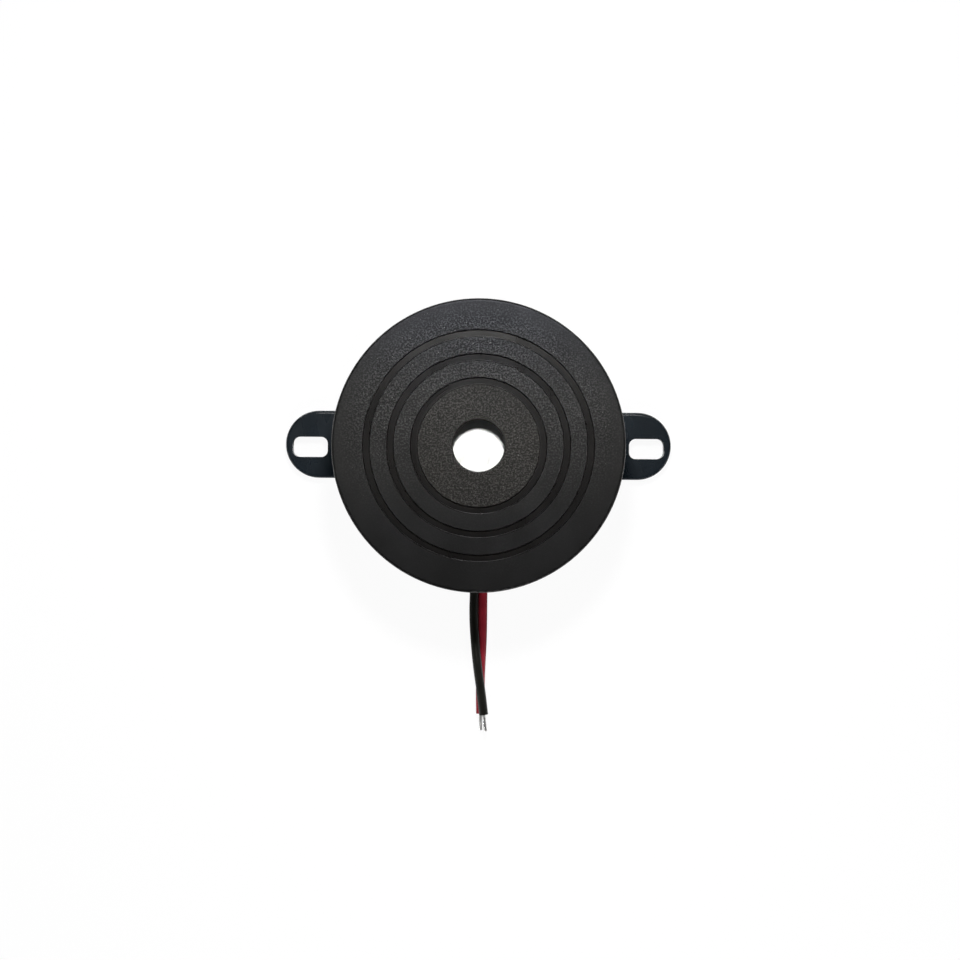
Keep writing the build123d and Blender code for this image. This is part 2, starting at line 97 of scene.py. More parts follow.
class Graph:
    """Adds nodes to one node tree and joins them."""

    NOISE_ROUGHNESS = 0.55

    def __init__(self, tree: bpy.types.NodeTree) -> None:
        """Starts on a node tree.

        Args:
            tree: the material's, world's or group's node tree.
        """
        self.tree = tree

    def node(self, kind: str, inputs: dict | None = None, **settings: object) -> bpy.types.Node:
        """Adds one node.

        Args:
            kind: Blender's name of the node type.
            inputs: each input's name or number with a fixed value or the output that feeds it.
            settings: plain attributes of the node.

        Returns:
            The new node.
        """
        made = self.tree.nodes.new(kind)
        for name, value in settings.items():
            setattr(made, name, value)
        for key, value in (inputs or {}).items():
            self.feed(made.inputs[key], value)
        return made

    def feed(self, target: Socket, value: object) -> None:
        """Gives an input a fixed value or joins an output to it.

        Args:
            target: the input socket.
            value: a number, a colour, a vector or an output socket.
        """
        if isinstance(value, Socket):
            self.tree.links.new(value, target)
        else:
            target.default_value = value

    def math(self, operation: str, *values: object) -> Socket:
        """Works out one number from others.

        Args:
            operation: Blender's name of the sum.
            values: numbers or outputs, in the order of the node's inputs.

        Returns:
            The output with the result.
        """
        inputs = dict(enumerate(values))
        return self.node("ShaderNodeMath", inputs, operation=operation).outputs[0]

    def spread(
        self, value: object, low: float, high: float, start: float = 0.0, end: float = 1.0
    ) -> Socket:
        """Maps a number smoothly from one range to another.

        Args:
            value: the output to map.
            low: the value that gives start.
            high: the value that gives end.
            start: the result at low.
            end: the result at high.

        Returns:
            The output with the mapped number.
        """
        inputs = {0: value, 1: low, 2: high, 3: start, 4: end}
        mapping = self.node("ShaderNodeMapRange", inputs, interpolation_type="SMOOTHSTEP")
        return mapping.outputs[0]

    def blend(self, share: object, first: object, second: object) -> Socket:
        """Blends two colours. The node has its colours at inputs 6 and 7 and at output 2.

        Args:
            share: how much of the second colour shows.
            first: the colour at a share of 0.
            second: the colour at a share of 1.

        Returns:
            The output with the blended colour.
        """
        inputs = {0: share, 6: first, 7: second}
        return self.node("ShaderNodeMix", inputs, data_type="RGBA").outputs[2]

    def scaled(self, colour: object, factor: object) -> Socket:
        """Makes a colour lighter or darker.

        Args:
            colour: the output with the colour.
            factor: what its three numbers are multiplied by.

        Returns:
            The output with the scaled colour.
        """
        inputs = {0: colour, "Scale": factor}
        return self.node("ShaderNodeVectorMath", inputs, operation="SCALE").outputs[0]

    def place(self) -> Socket:
        """Returns the place on the surface, in the coordinates of the frame."""
        return self.node("ShaderNodeTexCoord").outputs["Object"]

    def axes(self, vector: object) -> list[Socket]:
        """Splits a vector into its three numbers."""
        return list(self.node("ShaderNodeSeparateXYZ", {0: vector}).outputs)

    def noise(self, scale: object, detail: float, stretch: Point | None = None) -> Socket:
        """Adds a cloudy noise, read at the place on the surface.

        Args:
            scale: its cells to the metre.
            detail: how many finer layers it has.
            stretch: how much finer it is along each axis, or nothing for even noise.

        Returns:
            The output, near 0.5 on average.
        """
        vector = self.place()
        if stretch:
            inputs = {"Vector": vector, "Scale": stretch}
            vector = self.node("ShaderNodeMapping", inputs).outputs[0]
        inputs = {
            "Vector": vector,
            "Scale": scale,
            "Detail": detail,
            "Roughness": self.NOISE_ROUGHNESS,
        }
        return self.node("ShaderNodeTexNoise", inputs).outputs[0]

    def bump(self, height: object, distance: float, normal: object = None) -> Socket:
        """Turns a height into a bumped normal.

        Args:
            height: the output with the height, from 0 to 1.
            distance: how high 1 stands.
            normal: an earlier bump that this one adds to.

        Returns:
            The output with the normal.
        """
        inputs = {"Height": height, "Distance": distance, "Strength": 1.0}
        if normal:
            inputs["Normal"] = normal
        return self.node("ShaderNodeBump", inputs).outputs[0]


class Effect(Enum):
    """Effects that several finishes share, each a node group."""

    SPARK_GRAIN = "spark_grain"
    COLOUR_DRIFT = "colour_drift"
    HANDLING = "handling_marks"
    SCATTER = "scattered_spots"
    BAND = "band_mask"


@dataclass(frozen=True)
class Variation:
    """How a colour or a gloss varies over a surface.

    Attributes:
        cells: its patches to the metre.
        amount: the most that it adds or takes away.
    """

    cells: float
    amount: float


@dataclass(frozen=True)
class Spots:
    """Small round spots, scattered at random.

    Attributes:
        cells: the places to the metre where one may lie.
        share: how many of these places have one.
        size: how big one is, as a share of its place.
    """

    cells: float
    share: float
    size: float


class EffectShelf:
    """Builds each shared node group once."""

    NOISE_WEIGHT = 0.75
    PIT_WEIGHT = 0.45
    PIT_SMOOTHNESS = 0.7
    DRIFT_SPAN: Span = (0.3, 0.7)
    SMEAR_SPAN: Span = (0.35, 0.65)
    SMEAR_STRETCH: Point = (1.0, 0.35, 1.0)
    MIDDLE_OF_EDGE = 0.5

    def __init__(self) -> None:
        """Starts with no group built."""
        self.groups: dict[Effect, bpy.types.NodeTree] = {}
        self.makers = {
            Effect.SPARK_GRAIN: self.make_spark_grain,
            Effect.COLOUR_DRIFT: self.make_colour_drift,
            Effect.HANDLING: self.make_handling_marks,
            Effect.SCATTER: self.make_scattered_spots,
            Effect.BAND: self.make_band_mask,
        }

    def group(self, effect: Effect) -> bpy.types.NodeTree:
        """Returns an effect's node group, which is built when it is first asked for.

        Args:
            effect: which effect.
        """
        if effect not in self.groups:
            self.groups[effect] = self.makers[effect]()
        return self.groups[effect]

    @staticmethod
    def start(
        effect: Effect, inputs: dict[str, float | Colour], output: str
    ) -> tuple[Graph, bpy.types.Node, bpy.types.Node]:
        """Starts a node group with named inputs and one named output.

        Args:
            effect: the effect that the group makes.
            inputs: each input's name with its first value.
            output: the output's name, and a colour comes out only if it is Colour.

        Returns:
            The group's graph, its input node and its output node.
        """
        tree = bpy.data.node_groups.new(effect.value, "ShaderNodeTree")
        for name, value in inputs.items():
            number = isinstance(value, float)
            kind = "NodeSocketFloat" if number else "NodeSocketColor"
            socket = tree.interface.new_socket(name=name, in_out="INPUT", socket_type=kind)
            socket.default_value = value if number else opaque(value)
        kind = "NodeSocketColor" if output == "Colour" else "NodeSocketFloat"
        tree.interface.new_socket(name=output, in_out="OUTPUT", socket_type=kind)
        graph = Graph(tree)
        return graph, graph.node("NodeGroupInput"), graph.node("NodeGroupOutput")

    def make_spark_grain(self) -> bpy.types.NodeTree:
        """Returns the group for a spark-eroded mould texture: small rounded pits and grains."""
        graph, given, result = self.start(Effect.SPARK_GRAIN, {"Cells": 5000.0}, "Height")
        fine = graph.noise(given.outputs["Cells"], 3.0)
        cells = {
            "Vector": graph.place(),
            "Scale": given.outputs["Cells"],
            "Smoothness": self.PIT_SMOOTHNESS,
        }
        pits = graph.node("ShaderNodeTexVoronoi", cells, feature="SMOOTH_F1")
        grains = graph.math("MULTIPLY", fine, self.NOISE_WEIGHT)
        dents = graph.math("MULTIPLY", pits.outputs["Distance"], self.PIT_WEIGHT)
        graph.feed(result.inputs["Height"], graph.math("ADD", grains, dents))
        return graph.tree

    def make_colour_drift(self) -> bpy.types.NodeTree:
        """Returns the group for slow changes of shade over a moulded or drawn surface."""
        inputs = {"Colour": (0.5, 0.5, 0.5), "Cells": 150.0, "Amount": 0.1}
        graph, given, result = self.start(Effect.COLOUR_DRIFT, inputs, "Colour")
        clouds = graph.noise(given.outputs["Cells"], 3.0)
        shade = graph.spread(clouds, *self.DRIFT_SPAN, -1.0, 1.0)
        factor = graph.math("MULTIPLY_ADD", shade, given.outputs["Amount"], 1.0)
        graph.feed(result.inputs["Colour"], graph.scaled(given.outputs["Colour"], factor))
        return graph.tree

    def make_handling_marks(self) -> bpy.types.NodeTree:
        """Returns the group for faint rubs and smears that change the gloss."""
        inputs = {"Base": 0.4, "Amount": 0.08, "Cells": 300.0}
        graph, given, result = self.start(Effect.HANDLING, inputs, "Roughness")
        smear = graph.noise(given.outputs["Cells"], 4.0, stretch=self.SMEAR_STRETCH)
        smear = graph.spread(smear, *self.SMEAR_SPAN, -1.0, 1.0)
        rough = graph.math("MULTIPLY_ADD", smear, given.outputs["Amount"], given.outputs["Base"])
        graph.feed(result.inputs["Roughness"], rough)
        return graph.tree

    def make_scattered_spots(self) -> bpy.types.NodeTree:
        """Returns the group for a few small spots, scattered at random."""
        inputs = {"Cells": 900.0, "Share": 0.02, "Size": 0.1}
        graph, given, result = self.start(Effect.SCATTER, inputs, "Mask")
        cells = {"Vector": graph.place(), "Scale": given.outputs["Cells"]}
        cell = graph.node("ShaderNodeTexVoronoi", cells)
        draw = graph.axes(cell.outputs["Color"])[0]
        chosen = graph.math("LESS_THAN", draw, given.outputs["Share"])
        near = graph.math("LESS_THAN", cell.outputs["Distance"], given.outputs["Size"])
        graph.feed(result.inputs["Mask"], graph.math("MULTIPLY", chosen, near))
        return graph.tree

    def make_band_mask(self) -> bpy.types.NodeTree:
        """Returns the group for a mask that is 1 between two values, with soft edges."""
        inputs = {"Value": 0.0, "Low": 0.0, "High": 1.0, "Edge": 0.1}
        graph, given, result = self.start(Effect.BAND, inputs, "Mask")
        value, edge = given.outputs["Value"], given.outputs["Edge"]
        past_low = graph.math("SUBTRACT", value, given.outputs["Low"])
        before_high = graph.math("SUBTRACT", given.outputs["High"], value)
        rise, fall = (
            graph.math("ADD", graph.math("DIVIDE", distance, edge), self.MIDDLE_OF_EDGE)
            for distance in (past_low, before_high)
        )
        ends = {0: rise, 1: fall}
        inside = graph.node("ShaderNodeMath", ends, operation="MINIMUM", use_clamp=True)
        graph.feed(result.inputs["Mask"], inside.outputs[0])
        return graph.tree


SHELF = EffectShelf()


class SurfaceGraph(Graph):
    """The graph of a material, which can place the shared effects."""

    def effect(self, kind: Effect, **values: object) -> Socket:
        """Places an effect and returns its one output.

        Args:
            kind: which effect.
            values: the group's inputs by name.
        """
        group = self.node("ShaderNodeGroup", node_tree=SHELF.group(kind))
        for name, value in values.items():
            self.feed(group.inputs[name.capitalize()], value)
        return group.outputs[0]

    def drift(self, colour: object, change: Variation) -> Socket:
        """Lets a colour change slowly over the surface.

        Args:
            colour: the colour, or the output with it.
            change: how it varies.

        Returns:
            The output with the varied colour.
        """
        values = {"colour": colour, "cells": change.cells, "amount": change.amount}
        return self.effect(Effect.COLOUR_DRIFT, **values)

    def wear(self, rough: object, change: Variation) -> Socket:
        """Adds faint rubs and smears to a roughness.

        Args:
            rough: the roughness, or the output with it.
            change: how it varies.

        Returns:
            The output with the varied roughness.
        """
        values = {"base": rough, "cells": change.cells, "amount": change.amount}
        return self.effect(Effect.HANDLING, **values)

    def spots(self, kind: Spots) -> Socket:
        """Scatters spots.

        Args:
            kind: how many there are and how big they are.

        Returns:
            The output, 1 in the spots and 0 beside them.
        """
        return self.effect(Effect.SCATTER, cells=kind.cells, share=kind.share, size=kind.size)

    def grain(self, cells: float) -> Socket:
        """Returns the height of a fine grain.

        Args:
            cells: its grains to the metre.
        """
        return self.effect(Effect.SPARK_GRAIN, cells=cells)

    def band(self, value: Socket, span: Span, edge: float) -> Socket:
        """Masks a band.

        Args:
            value: the number that tells where a place lies.
            span: the band's two ends.
            edge: how wide its soft edges are.

        Returns:
            The output, 1 in the band and 0 beside it.
        """
        return self.effect(Effect.BAND, value=value, low=span[0], high=span[1], edge=edge)


@dataclass(frozen=True)
class Finish:
    """Base of every finish: a named material with one Principled shader."""

    name: str

    def build(self) -> bpy.types.Material:
        """Returns the material. Each kind of finish makes its own."""
        raise NotImplementedError(self.name)

    def begin(self, **values: float) -> tuple[bpy.types.Material, SurfaceGraph, bpy.types.Node]:
        """Starts the material.

        Args:
            values: fixed values for the shader's inputs, with spaces written as underscores.

        Returns:
            The material, its graph and its shader node.
        """
        material = bpy.data.materials.new(self.name)
        graph = SurfaceGraph(emptied(material))
        shader = graph.node("ShaderNodeBsdfPrincipled")
        graph.node("ShaderNodeOutputMaterial", {"Surface": shader.outputs[0]})
        for name, value in values.items():
            shader.inputs[name.replace("_", " ")].default_value = value
        return material, graph, shader

    @staticmethod
    def cover(
        graph: SurfaceGraph, shader: bpy.types.Node, colour: Socket, rough: Socket, normal: Socket
    ) -> None:
        """Feeds the three inputs of the shader that every finish feeds.

        Args:
            graph: the material's graph.
            shader: its shader node.
            colour: the output with the colour.
            rough: the output with the roughness.
            normal: the output with the normal.
        """
        graph.feed(shader.inputs["Base Color"], colour)
        graph.feed(shader.inputs["Roughness"], rough)
        graph.feed(shader.inputs["Normal"], normal)


@dataclass(frozen=True)
class ShellMasks:
    """Masks from 0 to 1 that tell the surfaces of the housing apart.

    Attributes:
        raised: the whole front with its rings.
        in_ring: the floors of the rings.
        disc: the middle of the front, round the sound hole.
        ear: the two ears.
        north_shade: painted shade on the gloss over the upper, north part of the picture, without
            the outermost ring.
        south_shade: painted shade on the gloss over the lower, south part of the front.
        lit_side_grain: how strongly the mould grain and its painted glints show, strongest on the
            lit north side.
    """

    raised: Socket
    in_ring: Socket
    disc: Socket
    ear: Socket
    north_shade: Socket
    south_shade: Socket
    lit_side_grain: Socket


@dataclass(frozen=True)
class MouldedShell(Finish):
    """Black moulded plastic: front with mould grain, glossy ring floors, satin wall and dark ears
    with a painted bluish reflection.

    A span holds the two ends of a soft edge. It is counted from the height or radius that stands
    above it, the outermost ring's from the middle, and those of the painted shades and the grain
    fade along y.

    Attributes:
        plain_tint: the tint of the gloss. The other two darken it as painted shade at the ends of
            the picture.
        grain_left: how much of the grain is left at the rim.
        lit_side_fade: how strong the grain and its painted glints are at the two ends of
            lit_side_span.
        disc_relief: how strong it is on the disc.
        fleck_span: where in the noise a fleck turns from dark to light. So does cloud_span.
        fleck_contrast: how much the flecks darken and lighten the gloss.
        fleck_colour: how much more they change the colour than the gloss; light flecks are partly
            painted glints.
        cloud_factors: what the gloss is multiplied by in its darker and its lighter patches.
        flow_cells: the slow waves of the moulding to the metre.
    """

    disc_colour: Colour = (0.0034, 0.0026, 0.0012)
    front_colour: Colour = (0.0012, 0.0011, 0.0009)
    ring_colour: Colour = (0.0052, 0.0047, 0.0043)
    wall_colour: Colour = (0.0060, 0.0060, 0.0064)
    # Partly painted reflection: the ears' bluish tone stands in for the surroundings they reflect.
    ear_colour_and_reflection: Colour = (0.0062, 0.0096, 0.0130)
    # Painted glints: the colour of pale specks on the grain, mostly on the lit north side.
    glint_colour: Colour = (0.16, 0.16, 0.15)
    plain_tint: Colour = (1.0, 0.995, 0.985)
    # Painted shade: the gloss tint is darker towards the north and the south end of the front.
    north_gloss_shade: Colour = (0.62, 0.64, 0.70)
    south_gloss_shade: Colour = (0.86, 0.86, 0.88)
    ior: float = 1.49
    gloss: float = 0.370
    disc_roughness: float = 0.56
    front_roughness: float = 0.45
    ring_roughness: float = 0.29
    ear_roughness: float = 0.28
    wall_roughness: float = 0.42
    front_height: float = 0.0160
    top_span: Span = (-0.00016, -0.00004)
    ring_span: Span = (-0.0012, -0.0009)
    ear_level: float = 0.0030
    ear_span: Span = (-0.0003, 0.0)
    body_radius: float = 0.0212
    body_span: Span = (0.0, 0.0004)
    disc_radius: float = 0.0089
    disc_span: Span = (-0.0003, 0.0003)
    outer_ring_span: Span = (0.0150, 0.0154)
    # Where along y the painted shade of the gloss sets in.
    north_shade_span: Span = (0.0040, 0.0190)
    south_shade_span: Span = (-0.0130, -0.0040)
    grain_cells: float = 5200.0
    grain_end_radius: float = 0.0208
    grain_span: Span = (-0.0045, 0.0006)
    grain_left: float = 0.15
    grain_height: float = 0.000030
    # Painted glints: the grain, its flecks and pale specks fade from the lit north to the south;
    # the same fade scales the bump.
    lit_side_span: Span = (-0.012, 0.010)
    lit_side_fade: Span = (0.08, 0.95)
    disc_relief: float = 0.75
    fleck_cells: float = 4056.0
    fleck_span: Span = (0.42, 0.67)
    fleck_contrast: Span = (-0.46, 1.15)
    fleck_colour: float = 1.2
    # Where the painted glints lie.
    glint_specks: Spots = Spots(2000.0, 0.45, 0.10)
    drift: Variation = Variation(160.0, 0.15)
    marks: Variation = Variation(260.0, 0.02)
    cloud_cells: float = 140.0
    cloud_span: Span = (0.3, 0.7)
    cloud_factors: Span = (0.92, 1.08)
    flow_cells: float = 900.0
    flow_height: float = 0.000010

    def make_masks(self, graph: SurfaceGraph) -> ShellMasks:
        """Returns the masks, worked out from the place on the surface.

        Args:
            graph: the material's graph.
        """
        x, y, z = graph.axes(graph.place())
        squares = graph.math("MULTIPLY_ADD", x, x, graph.math("MULTIPLY", y, y))
        radius = graph.math("SQRT", squares)
        top = graph.spread(z, *shifted(self.front_height, self.top_span))
        raised = graph.spread(z, *shifted(self.front_height, self.ring_span))
        in_ring = graph.math("SUBTRACT", raised, top)

        disc_span = shifted(self.disc_radius, self.disc_span)
        disc = graph.math("MULTIPLY", graph.spread(radius, *disc_span, 1.0, 0.0), raised)
        low = graph.spread(z, *shifted(self.ear_level, self.ear_span), 1.0, 0.0)
        outside = graph.spread(radius, *shifted(self.body_radius, self.body_span))
        # The outermost ring is kept out of the painted shade at the north.
        outer_ring = graph.math("MULTIPLY", in_ring, graph.spread(radius, *self.outer_ring_span))
        no_outer_ring = graph.math("SUBTRACT", 1.0, outer_ring)

        fade_span = shifted(self.grain_end_radius, self.grain_span)
        fade = graph.spread(radius, *fade_span, 1.0, self.grain_left)
        # Painted glints: the grain is faded along y, strong on the lit north side.
        lit_side_share = graph.spread(y, *self.lit_side_span, *self.lit_side_fade)
        lit_side_level = graph.blend(disc, lit_side_share, grey(self.disc_relief))
        return ShellMasks(
            raised=raised,
            in_ring=in_ring,
            disc=disc,
            ear=graph.math("MULTIPLY", low, outside),
            north_shade=graph.math("MULTIPLY", graph.spread(y, *self.north_shade_span), no_outer_ring),
            south_shade=graph.math("MULTIPLY", graph.spread(y, *self.south_shade_span, 1.0, 0.0), raised),
            lit_side_grain=graph.math("MULTIPLY", graph.math("MULTIPLY", top, fade), lit_side_level),
        )

    def make_contrast(self, graph: SurfaceGraph, masks: ShellMasks) -> Socket:
        """Returns the flecks of the grain, below 0 where they are dark and 0 without grain.
        Its light flecks are partly painted glints, strongest on the lit north side.

        Args:
            graph: the material's graph.
            masks: the masks of the surfaces.
        """
        flecks = graph.noise(self.fleck_cells, 2.0)
        contrast = graph.spread(flecks, *self.fleck_span, *self.fleck_contrast)
        return graph.math("MULTIPLY", contrast, masks.lit_side_grain)

    def make_colour(self, graph: SurfaceGraph, masks: ShellMasks, contrast: Socket) -> Socket:
        """Returns the colour.

        Args:
            graph: the material's graph.
            masks: the masks of the surfaces.
            contrast: the flecks of the grain.
        """
        colour = graph.blend(masks.raised, opaque(self.wall_colour), opaque(self.front_colour))
        colour = graph.blend(masks.disc, colour, opaque(self.disc_colour))
        colour = graph.blend(masks.in_ring, colour, opaque(self.ring_colour))
        # The ears' colour holds a painted bluish reflection.
        colour = graph.blend(masks.ear, colour, opaque(self.ear_colour_and_reflection))
        factor = graph.math("MULTIPLY_ADD", contrast, self.fleck_colour, 1.0)
        colour = graph.drift(graph.scaled(colour, factor), self.drift)
        # Painted glints: pale specks where the grain shows.
        glints = graph.math("MULTIPLY", graph.spots(self.glint_specks), masks.lit_side_grain)
        return graph.blend(glints, colour, opaque(self.glint_colour))

    def make_roughness(self, graph: SurfaceGraph, masks: ShellMasks) -> Socket:
        """Returns the roughness.

        Args:
            graph: the material's graph.
            masks: the masks of the surfaces.
        """
        rough = graph.spread(masks.raised, 0.0, 1.0, self.wall_roughness, self.front_roughness)
        on_disc = self.disc_roughness - self.front_roughness
        in_ring = self.ring_roughness - self.front_roughness
        on_ear = self.ear_roughness - self.wall_roughness
        rough = graph.math("MULTIPLY_ADD", masks.disc, on_disc, rough)
        rough = graph.math("MULTIPLY_ADD", masks.in_ring, in_ring, rough)
        rough = graph.math("MULTIPLY_ADD", masks.ear, on_ear, rough)
        return graph.wear(rough, self.marks)

    def make_tint(self, graph: SurfaceGraph, masks: ShellMasks, contrast: Socket) -> Socket:
        """Returns the tint of the gloss, painted darker towards both ends of the front. Returns
        the tint of the gloss, which no shared effect may feed.

        Args:
            graph: the material's graph.
            masks: the masks of the surfaces.
            contrast: the flecks of the grain.
        """
        # Painted shade: darker gloss towards the north and the south end of the front.
        tint = graph.blend(masks.north_shade, opaque(self.plain_tint), opaque(self.north_gloss_shade))
        tint = graph.blend(masks.south_shade, tint, opaque(self.south_gloss_shade))
        clouds = graph.noise(self.cloud_cells, 3.0)
        cloudy = graph.spread(clouds, *self.cloud_span, *self.cloud_factors)
        flecked = graph.math("ADD", contrast, 1.0)
        return graph.scaled(tint, graph.math("MULTIPLY", flecked, cloudy))

    def make_normal(self, graph: SurfaceGraph, masks: ShellMasks) -> Socket:
        """Returns the relief of the grain and of the moulding's slow waves.

        Args:
            graph: the material's graph.
            masks: the masks of the surfaces.
        """
        height = graph.math("MULTIPLY", graph.grain(self.grain_cells), masks.lit_side_grain)
        lit_side_grain = graph.bump(height, self.grain_height)
        return graph.bump(graph.noise(self.flow_cells, 2.0), self.flow_height, lit_side_grain)

    def build(self) -> bpy.types.Material:
        """Returns the material."""
        material, graph, shader = self.begin(IOR=self.ior, Specular_IOR_Level=self.gloss)
        masks = self.make_masks(graph)
        contrast = self.make_contrast(graph, masks)
        colour = self.make_colour(graph, masks, contrast)
        rough = self.make_roughness(graph, masks)
        self.cover(graph, shader, colour, rough, self.make_normal(graph, masks))
        graph.feed(shader.inputs["Specular Tint"], self.make_tint(graph, masks, contrast))
        return material


@dataclass(frozen=True)
class Sheath(Finish):
    """Extruded insulation of a wire, with a faint ripple."""

    colour: Colour
    ior: float = 1.53
    gloss: float = 0.18
    roughness: float = 0.34
    drift: Variation = Variation(420.0, 0.16)
    marks: Variation = Variation(900.0, 0.06)
    ripple_cells: float = 1500.0
    ripple_stretch: Point = (1.0, 0.3, 1.0)
    ripple_height: float = 0.00002

    def build(self) -> bpy.types.Material:
        """Returns the material."""
        material, graph, shader = self.begin(IOR=self.ior, Specular_IOR_Level=self.gloss)
        colour = graph.drift(opaque(self.colour), self.drift)
        rough = graph.wear(self.roughness, self.marks)
        ripple = graph.noise(self.ripple_cells, 3.0, stretch=self.ripple_stretch)
        self.cover(graph, shader, colour, rough, graph.bump(ripple, self.ripple_height))
        return material


@dataclass(frozen=True)
class Metal(Finish):
    """Bare or plated metal with faint working marks."""

    colour: Colour
    roughness: float
    mark_cells: float = 3500.0
    mark_height: float = 0.000003
    mark_stretch: Point = (1.0, 8.0, 1.0)
    drift: Variation = Variation(500.0, 0.05)
    marks: Variation = Variation(1200.0, 0.07)

    def build(self) -> bpy.types.Material:
        """Returns the material."""
        material, graph, shader = self.begin(Metallic=1.0)
        colour = graph.drift(opaque(self.colour), self.drift)
        rough = graph.wear(self.roughness, self.marks)
        lines = graph.noise(self.mark_cells, 2.0, stretch=self.mark_stretch)
        self.cover(graph, shader, colour, rough, graph.bump(lines, self.mark_height))
        return material


@dataclass(frozen=True)
class Potting(Finish):
    """Cast compound that has levelled itself, glossy with a few small craters."""

    colour: Colour
    ior: float = 1.55
    roughness: float = 0.18
    drift: Variation = Variation(260.0, 0.2)
    marks: Variation = Variation(400.0, 0.06)
    craters: Spots = Spots(700.0, 0.06, 0.22)
    crater_height: float = -0.00005
    wave_cells: float = 220.0
    wave_height: float = 0.0002

    def build(self) -> bpy.types.Material:
        """Returns the material."""
        material, graph, shader = self.begin(IOR=self.ior)
        colour = graph.drift(opaque(self.colour), self.drift)
        rough = graph.wear(self.roughness, self.marks)
        dented = graph.bump(graph.spots(self.craters), self.crater_height)
        waves = graph.noise(self.wave_cells, 1.0)
        self.cover(graph, shader, colour, rough, graph.bump(waves, self.wave_height, dented))
        return material


@dataclass(frozen=True)
class Granular(Finish):
    """Pressed or fired matter with a fine grain: laminate, ceramic and silicone."""

    colour: Colour
    fleck: Colour
    roughness: float
    cells: float
    grain_height: float
    fleck_span: Span = (0.45, 0.75)
    drift: Variation = Variation(300.0, 0.12)
    marks: Variation = Variation(500.0, 0.08)

    def build(self) -> bpy.types.Material:
        """Returns the material."""
        material, graph, shader = self.begin()
        grain = graph.grain(self.cells)
        share = graph.spread(grain, *self.fleck_span)
        colour = graph.blend(share, opaque(self.colour), opaque(self.fleck))
        colour = graph.drift(colour, self.drift)
        rough = graph.wear(self.roughness, self.marks)
        self.cover(graph, shader, colour, rough, graph.bump(grain, self.grain_height))
        return material


@dataclass(frozen=True)
class Coated(Finish):
    """Coat or moulded body of a small part with bare tinned legs, and any colour bands.

    Attributes:
        body: where the coat starts and ends, along z or along the part.
        bearing: where a lying part points, in degrees from +Y towards -X, or nothing for z.
        bands: each colour band's start, end and colour, along the part.
        edge: how wide the soft edges of the coat and of the bands are.
    """

    colour: Colour
    roughness: float
    body: Span
    bearing: float | None = None
    bands: tuple[Band, ...] = ()
    leg_colour: Colour = TINNED
    leg_roughness: float = TINNED_ROUGHNESS
    cells: float = 3000.0
    grain_height: float = 0.00001
    edge: float = 0.00004
    drift: Variation = Variation(900.0, 0.12)
    marks: Variation = Variation(1200.0, 0.06)

    def make_distance(self, graph: SurfaceGraph) -> Socket:
        """Returns the distance along z, or along the part if it has a bearing.

        Args:
            graph: the material's graph.
        """
        x, y, z = graph.axes(graph.place())
        if self.bearing is None:
            return z
        turn = math.radians(self.bearing)
        along_y = graph.math("MULTIPLY", y, math.cos(turn))
        return graph.math("MULTIPLY_ADD", x, -math.sin(turn), along_y)

    def build(self) -> bpy.types.Material:
        """Returns the material."""
        material, graph, shader = self.begin()
        along = self.make_distance(graph)
        coat = graph.band(along, self.body, self.edge)
        colour = opaque(self.colour)
        for start, end, paint in self.bands:
            band = graph.band(along, (start, end), self.edge)
            colour = graph.blend(band, colour, opaque(paint))
        colour = graph.drift(colour, self.drift)
        colour = graph.blend(coat, opaque(self.leg_colour), colour)
        rough = graph.spread(coat, 0.0, 1.0, self.leg_roughness, self.roughness)
        rough = graph.wear(rough, self.marks)
        grain = graph.grain(self.cells)
        self.cover(graph, shader, colour, rough, graph.bump(grain, self.grain_height))
        graph.feed(shader.inputs["Metallic"], graph.math("SUBTRACT", 1.0, coat))
        return material


@dataclass(frozen=True)
class Camera:
    """The camera, above the sound hole and looking down. Lens and sensor are in millimetres."""

    place: Point = (-0.0005926, 0.0014016, 0.32835)
    turn: Point = (-0.0201, -0.0025, 0.0069)
    lens: float = 82.28
    sensor_width: float = 36.0
    clip: Span = (0.005, 20.0)

    def build(self) -> None:
        """Hangs the camera and makes it the scene's own."""
        data = bpy.data.cameras.new("camera")
        data.sensor_width = self.sensor_width
        data.lens = self.lens
        data.clip_start, data.clip_end = self.clip
        camera = link("camera", data)
        camera.location = self.place
        camera.rotation_euler = self.turn
        bpy.context.scene.camera = camera


@dataclass(frozen=True)
class Lamp:
    """A soft round lamp, aimed at the buzzer's front, that the camera itself doesn't see.

    Attributes:
        place: where it hangs.
        size: its diameter.
        power: its power in watts.
        glossy: whether it shows in reflections.
        aim: what it points at.
    """

    name: str
    place: Point
    size: float
    power: float
    glossy: bool = True
    aim: Point = (0.0, 0.0, 0.012)

    def build(self) -> None:
        """Hangs the lamp."""
        data = bpy.data.lights.new(self.name, "AREA")
        data.shape = "DISK"
        data.size = self.size
        data.energy = self.power
        lamp = link(self.name, data)
        lamp.location = self.place
        facing = Vector(self.aim) - Vector(self.place)
        lamp.rotation_euler = facing.to_track_quat("-Z", "Y").to_euler()
        lamp.visible_camera = False
        lamp.visible_glossy = self.glossy


